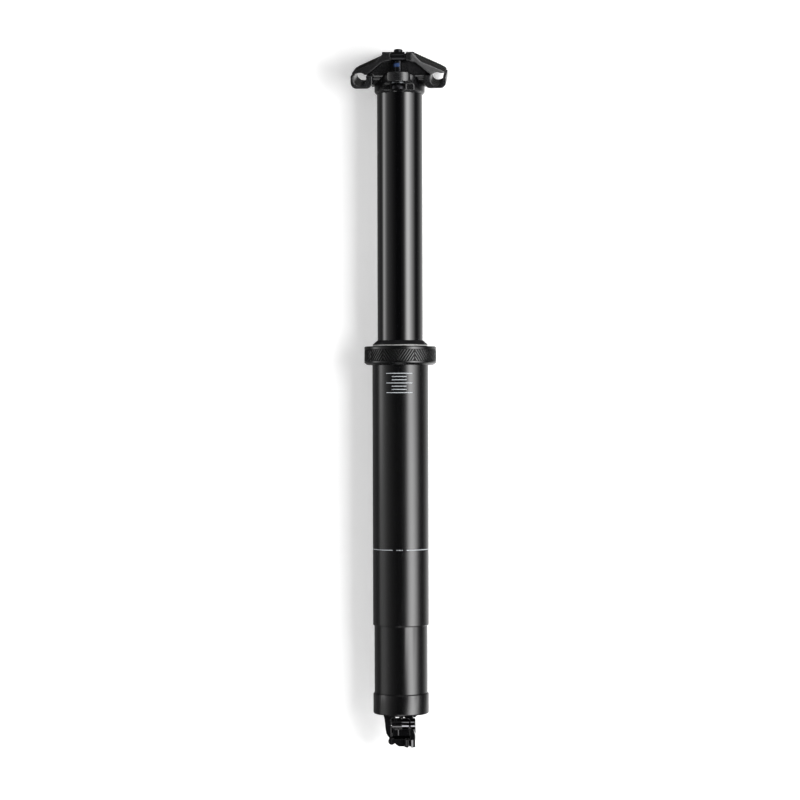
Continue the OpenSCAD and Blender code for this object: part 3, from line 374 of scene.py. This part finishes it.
def collar_grip():
    """Slanted ribs round the collar's sunk band, leaning left and right in turn.

    They are drawn coarser than knurling is, because finer ones don't show in the render.
    """
    low, high = 2.15, 8.55
    columns, lean, ribs_each_way = 14, math.radians(55), 5
    pitch, rib_w, rib_h, root, rounding = 1.35, 0.64, 0.48, 0.1, 0.12
    width = 2 * math.pi * BAND_R / columns
    seam = 0.25
    step = pitch / math.cos(lean)
    bm = bmesh.new()
    for i in range(-ribs_each_way, ribs_each_way + 1):
        made = bmesh.ops.create_cube(bm, size=1)["verts"]
        bmesh.ops.scale(bm, verts=made, vec=(2 * width, rib_w, rib_h + root))
        bmesh.ops.rotate(bm, verts=made, cent=(0, 0, 0), matrix=Matrix.Rotation(lean, 3, "Z"))
        bmesh.ops.translate(bm, verts=made,
                            vec=(width / 2, (low + high) / 2 + i * step, (rib_h - root) / 2))
    for spot, out in (((seam / 2, 0, 0), (-1, 0, 0)), ((width - seam / 2, 0, 0), (1, 0, 0)),
                      ((0, low, 0), (0, -1, 0)), ((0, high, 0), (0, 1, 0))):
        bmesh.ops.bisect_plane(bm, geom=everything(bm), plane_co=spot, plane_no=out, clear_outer=True)
        closed(bm)
    tops = [e for e in bm.edges if all(v.co.z > rib_h * 0.9 for v in e.verts)]
    bmesh.ops.bevel(bm, geom=tops, offset=rounding, offset_type="OFFSET", segments=2, profile=0.5,
                    affect="EDGES", material=-1)
    # cuts across the ribs, at which they bend round the band
    for part in (0.25, 0.5, 0.75):
        bmesh.ops.bisect_plane(bm, geom=everything(bm), plane_co=(part * width, 0, 0), plane_no=(1, 0, 0))
    other = bmesh.ops.duplicate(bm, geom=everything(bm))["geom"]
    bmesh.ops.scale(bm, verts=only_verts(other), vec=(-1, 1, 1))
    wrap(bm, BAND_R)
    pair = everything(bm)
    for i in range(1, columns // 2):
        made = bmesh.ops.duplicate(bm, geom=pair)["geom"]
        bmesh.ops.rotate(bm, verts=only_verts(made), cent=(0, 0, 0),
                         matrix=Matrix.Rotation(4 * math.pi * i / columns, 3, "Z"))
    bmesh.ops.recalc_face_normals(bm, faces=bm.faces)
    piece("collar_grip", bm, "collar")


def grip_band(collar):
    """Gives the floor of the collar's gripping band its dull finish and its darker colour, which is painted
    shade between the ribs.
    """
    mesh = collar.data
    mesh.materials.append(shaded_grip_floor)
    for face in mesh.polygons:
        x, y, z = face.center / MM
        if BAND_R - 0.3 < math.hypot(x, y) < BAND_R + 0.1 and BAND_LOW < z < BAND_HIGH:
            face.material_index = 1


def wiper_ring():
    """A pale ring whose white colour is a painted highlight: the bright line between the wiper and the
    collar.
    """
    inner, outer, low, high, rounding = 15.0, 15.56, 10.8, 11.2, 0.06
    bm = bmesh.new()
    turned(bm, [(inner, low), (outer - rounding, low), (outer, low + rounding), (outer, high - rounding),
                (outer - rounding, high), (inner, high)], steps=96)
    bmesh.ops.recalc_face_normals(bm, faces=bm.faces)
    piece("wiper_ring", bm, "wiper_seal", white_highlight_ring)


def threadlocker():
    """A smear of dried threadlocker in the front bolt's thread, low enough to pass into the nut's bore."""
    bm = bmesh.new()
    turned(bm, [(2.2, 165.6), (2.5, 165.8), (2.57, 166.3), (2.58, 167.1), (2.52, 167.8), (2.2, 168)],
           steps=32, start=-190, sweep=118)
    closed(bm)
    bmesh.ops.translate(bm, verts=bm.verts, vec=(0, -BOLT_Y * MM, 0))
    bmesh.ops.recalc_face_normals(bm, faces=bm.faces)
    piece("threadlocker_smear", bm, "front_bolt", threadlock, sharp=60)


# forged and milled nodes, with the skin's grid in mm and how often its edges are smoothed
FORGED = (
    ("head", 0.3, 6), ("lower_clamp", 0.3, 6), ("upper_clamp_left", 0.25, 6), ("upper_clamp_right", 0.25, 6),
    ("release_bracket", 0.16, 3), ("release_lever", 0.14, 3),
)
# turned nodes, with the width of their broken edges in mm
EDGED = (
    ("bottom_cap", 0.25), ("outer_tube", 0.15), ("front_nut", 0.35), ("rear_nut", 0.35),
    ("bolt_washers", 0.12), ("bracket_screws", 0.2), ("housing_stop", 0.15), ("barrel_grub_screw", 0.12),
    ("lever_pin", 0.2), ("wiper_seal", 0.15),
)

for node, voxel, passes in FORGED:
    forged(node, voxel, passes)
for node, width in EDGED:
    broken_edges(node, width)
broken_edges("cable_barrel", 0.3, plated)
grip_band(broken_edges("collar", 0.3))
wiper_ring()
clamp_bolt("front_bolt", -1)
clamp_bolt("rear_bolt", 1)
threadlocker()
collar_grip()
height_scale()
insertion_line()


# stage, lamps and camera

# the photograph was taken from a little to the right of the post's own front
CAMERA_TURN = 2.4
CAMERA_REACH = 1.45
# the paper's floor below the post and its wall close behind it, in metres as the whole stage is
FLOOR_Z = -0.42
WALL_Y = 0.027
LAMP_REACH = 0.9
LAMP_LOW = -0.22
LAMP_HIGH = 0.24
DOME_R = 3.0


def around(azimuth, distance, height):
    """A place round the post: azimuth 0 is the post's front and 90 is to the viewer's right."""
    turn = math.radians(azimuth)
    return Vector((math.sin(turn) * distance, -math.cos(turn) * distance, height))


def see_rays(tree):
    """1 for the rays that look straight at a background, in glass or in metal too."""
    path = add(tree, "ShaderNodeLightPath")
    some = add(tree, "ShaderNodeMath", {"operation": "ADD"}, None,
               {0: path.outputs["Is Camera Ray"], 1: path.outputs["Is Glossy Ray"]})
    return add(tree, "ShaderNodeMath", {"operation": "ADD", "use_clamp": True}, None,
               {0: some.outputs[0], 1: path.outputs["Is Transmission Ray"]}).outputs[0]


def backdrop():
    """A white sheet that hangs close behind the post and sweeps out into a pale floor."""
    bm = bmesh.new()
    sweep, top, front, half, steps = 0.22, 0.62, -1.1, 0.55, 12
    points = [(WALL_Y, top)]
    for step in range(steps + 1):
        turn = math.pi / 2 * step / steps
        points.append((WALL_Y - sweep * (1 - math.cos(turn)), FLOOR_Z + sweep * (1 - math.sin(turn))))
    points.append((front, FLOOR_Z))
    verts = [bm.verts.new((-half, y, z)) for y, z in points]
    edges = [bm.edges.new(pair) for pair in zip(verts, verts[1:])]
    moved = bmesh.ops.extrude_edge_only(bm, edges=edges)["geom"]
    bmesh.ops.translate(bm, verts=only_verts(moved), vec=(2 * half, 0, 0))
    bm.normal_update()
    # the extrusion gives its faces in no fixed order, so each one by itself is turned to look forward
    middle = Vector((0, front / 2, 0))
    for face in bm.faces:
        if face.normal.dot(middle - face.calc_center_median()) < 0:
            face.normal_flip()
    bmesh.ops.rotate(bm, verts=bm.verts, cent=(0, 0, 0),
                     matrix=Matrix.Rotation(math.radians(CAMERA_TURN), 3, "Z"))
    mesh = bpy.data.meshes.new("backdrop")
    bm.to_mesh(mesh)
    bm.free()
    mesh.polygons.foreach_set("use_smooth", [True] * len(mesh.polygons))
    sheet = bpy.data.objects.new("backdrop", mesh)
    bpy.context.collection.objects.link(sheet)
    # matte white paper, lifted a little where it is looked at; its back lets lamps and other views through
    white, lift = 0.88, 0.3
    made, tree, out = blank("white_paper_sweep")
    paper = add(tree, "ShaderNodeBsdfDiffuse", None, {"Color": (white, white, white, 1)})
    seen = add(tree, "ShaderNodeMath", {"operation": "MULTIPLY"}, {1: lift}, {0: see_rays(tree)})
    glow = add(tree, "ShaderNodeEmission", None, None, {"Strength": seen.outputs[0]})
    face = add(tree, "ShaderNodeAddShader", None, None, {0: paper.outputs[0], 1: glow.outputs[0]})
    clear = add(tree, "ShaderNodeBsdfTransparent")
    side = add(tree, "ShaderNodeNewGeometry")
    both = add(tree, "ShaderNodeMixShader", None, None,
               {0: side.outputs["Backfacing"], 1: face.outputs[0], 2: clear.outputs[0]})
    tree.links.new(both.outputs[0], out.inputs[0])
    mesh.materials.append(made)
    sheet.visible_glossy = False


def lamp(name, start, end, power):
    """A tall rectangular lamp that covers the azimuths from start to end, facing the post.

    power says how bright its face is, whatever its size.
    """
    width = 2 * LAMP_REACH * math.tan(math.radians(end - start) / 2)
    height = LAMP_HIGH - LAMP_LOW
    middle = (start + end) / 2 + CAMERA_TURN
    light = bpy.data.lights.new(name, "AREA")
    light.shape = "RECTANGLE"
    light.size = width
    light.size_y = height
    light.energy = 4 * width * height * power
    holder = bpy.data.objects.new(name, light)
    holder.location = around(middle, LAMP_REACH, (LAMP_LOW + LAMP_HIGH) / 2)
    holder.rotation_euler = (math.pi / 2, 0, math.radians(middle))
    holder.visible_camera = False
    holder.visible_glossy = False
    bpy.context.collection.objects.link(holder)


# brightness of the studio by azimuth from the camera, at the stanchion's level and at the tube's: a black
# gap in front, a soft box to the right that fades outward and is wider low down, a dark slot, then the
# white sheet; on the left a narrow soft box, weaker low down, and grey card
SCREENS = (
    (-180, 1.0, 1.0), (-179, 0.2, 0.21), (-109, 0.16, 0.12), (-100, 0.5, 0.2), (-93, 2.6, 0.75),
    (-86, 3.4, 0.75), (-79, 2.0, 0.85), (-73, 1.15, 0.8), (-67, 0.65, 0.7), (-58, 0.4, 0.42),
    (-47, 0.25, 0.24), (-33, 0.1, 0.11), (-17, 0.02, 0.03), (2, 0.02, 0.02), (14, 0.14, 0.16),
    (21, 0.5, 0.7), (28, 2.7, 2.6), (34, 5.6, 5.0), (40, 7.0, 6.7), (46, 6.8, 7.2), (55, 4.3, 6.6),
    (67, 2.0, 3.6), (75, 1.0, 1.6), (81, 0.3, 0.6), (88, 0.07, 0.2), (101, 0.12, 0.1), (115, 0.43, 0.4),
    (130, 0.85, 0.9), (157, 1.2, 1.35), (180, 1.0, 1.0),
)
# a ramp holds levels up to 1, so each level is divided by this one, above all of them
TOP_LEVEL = 30
# what is left of the studio's brightness high up: all of it in front, and little behind the post, where black
# card hangs over the sheet
CARD_ABOVE = ((-180, 1.8), (-110, 1.8), (-90, TOP_LEVEL), (80, TOP_LEVEL), (110, 1.8), (180, 1.8))
# brightness of the soft boxes above and below the camera, and of the card round and beyond them
CARD_LEVEL = 0.1
ABOVE = ((-180, CARD_LEVEL), (-28, CARD_LEVEL), (-16, 1.6), (16, 1.6), (28, CARD_LEVEL), (180, CARD_LEVEL))
BELOW = ((-180, CARD_LEVEL), (-28, CARD_LEVEL), (-16, 3.5), (16, 3.5), (28, CARD_LEVEL), (180, CARD_LEVEL))
CARD = ((-180, CARD_LEVEL), (180, CARD_LEVEL))


def level_ramp(tree, share, rows, column=1):
    """A ramp through one column of a table of levels by azimuth, each divided by TOP_LEVEL."""
    ramp = add(tree, "ShaderNodeValToRGB", None, None, {0: share})
    stops = ramp.color_ramp.elements
    for row in rows[1:-1]:
        stops.new((row[0] + 180) / 360)
    for stop, row in zip(sorted(stops, key=lambda e: e.position), rows):
        level = row[column] / TOP_LEVEL
        stop.color = (level, level, level, 1)
    return ramp.outputs[0]


def studio_dome():
    """The soft boxes and black cards round the post, which only reflections see."""
    bm = bmesh.new()
    bmesh.ops.create_uvsphere(bm, u_segments=72, v_segments=36, radius=DOME_R)
    mesh = bpy.data.meshes.new("studio_dome")
    bm.to_mesh(mesh)
    bm.free()
    dome = bpy.data.objects.new("studio_dome", mesh)
    bpy.context.collection.objects.link(dome)
    # diffusion cloth over soft boxes, with black card between them
    made, tree, out = blank("diffusion_cloth_and_card")
    place = add(tree, "ShaderNodeSeparateXYZ", None, None,
                {0: add(tree, "ShaderNodeTexCoord").outputs["Object"]})
    front = add(tree, "ShaderNodeMath", {"operation": "MULTIPLY"}, {1: -1.0}, {0: place.outputs[1]})
    azimuth = add(tree, "ShaderNodeMath", {"operation": "ARCTAN2"}, None,
                  {0: place.outputs[0], 1: front.outputs[0]})
    turn = math.radians(CAMERA_TURN)
    share = add(tree, "ShaderNodeMapRange", None, {"From Min": turn - math.pi, "From Max": turn + math.pi},
                {"Value": azimuth.outputs[0]}).outputs[0]

    def rise(low, high):
        """From 0 at one elevation to 1 at another."""
        start, end = (DOME_R * math.sin(math.radians(angle)) for angle in (low, high))
        return add(tree, "ShaderNodeMapRange", None, {"From Min": start, "From Max": end},
                   {"Value": place.outputs[2]}).outputs[0]

    def mix(factor, first, second, blend="MIX"):
        """One level over another, by a factor."""
        return add(tree, "ShaderNodeMix", {"data_type": "RGBA", "blend_type": blend}, None,
                   {0: factor, 6: first, 7: second}).outputs[2]

    # from the middle outwards, up and then down
    level = mix(rise(-3.5, 2), level_ramp(tree, share, SCREENS, 2), level_ramp(tree, share, SCREENS, 1))
    level = mix(rise(10, 15), level, level_ramp(tree, share, CARD_ABOVE), "MULTIPLY")
    card = level_ramp(tree, share, CARD)
    level = mix(rise(33, 40), level, level_ramp(tree, share, ABOVE))
    level = mix(rise(54, 62), level, card)
    level = mix(rise(-34, -42), level, level_ramp(tree, share, BELOW))
    level = mix(rise(-68, -74), level, card)
    glow = add(tree, "ShaderNodeEmission", None, {"Strength": TOP_LEVEL}, {"Color": level})
    tree.links.new(glow.outputs[0], out.inputs[0])
    mesh.materials.append(made)
    dome.visible_camera = False
    dome.visible_diffuse = False
    dome.visible_shadow = False
    dome.visible_transmission = False


backdrop()
studio_dome()
lamp("key", 20, 46, 10.5)
lamp("key_fade", 46, 70, 2.1)
lamp("fill_left", -92, -60, 1.65)

# a soft white room, plain white where it is looked at
world = bpy.data.worlds.new("studio_white")
bpy.context.scene.world = world
world.use_nodes = True
sky = world.node_tree
sky.nodes.clear()
level = add(sky, "ShaderNodeMapRange", None, {"To Min": 0.35, "To Max": 1.0}, {"Value": see_rays(sky)})
light = add(sky, "ShaderNodeBackground", None, {"Color": (1, 1, 1, 1)}, {"Strength": level.outputs[0]})
sky.links.new(light.outputs[0], sky.nodes.new("ShaderNodeOutputWorld").inputs[0])

lens = bpy.data.cameras.new("camera")
lens.sensor_width = 36
lens.lens = 115.6
lens.clip_start = 0.05
camera = bpy.data.objects.new("camera", lens)
bpy.context.collection.objects.link(camera)
# level with the collar, looking at the post, with the photograph's slight lean and shift to the left
aim = Matrix.Rotation(math.radians(CAMERA_TURN), 3, "Z")
camera.location = aim @ Vector((-0.00023, -CAMERA_REACH, -0.01975))
lean = Matrix.Rotation(math.radians(90), 3, "X") @ Matrix.Rotation(math.radians(-0.155), 3, "Z")
camera.rotation_euler = (aim @ lean).to_euler()
bpy.context.scene.camera = camera
bpy.context.scene.view_settings.view_transform = "Standard"
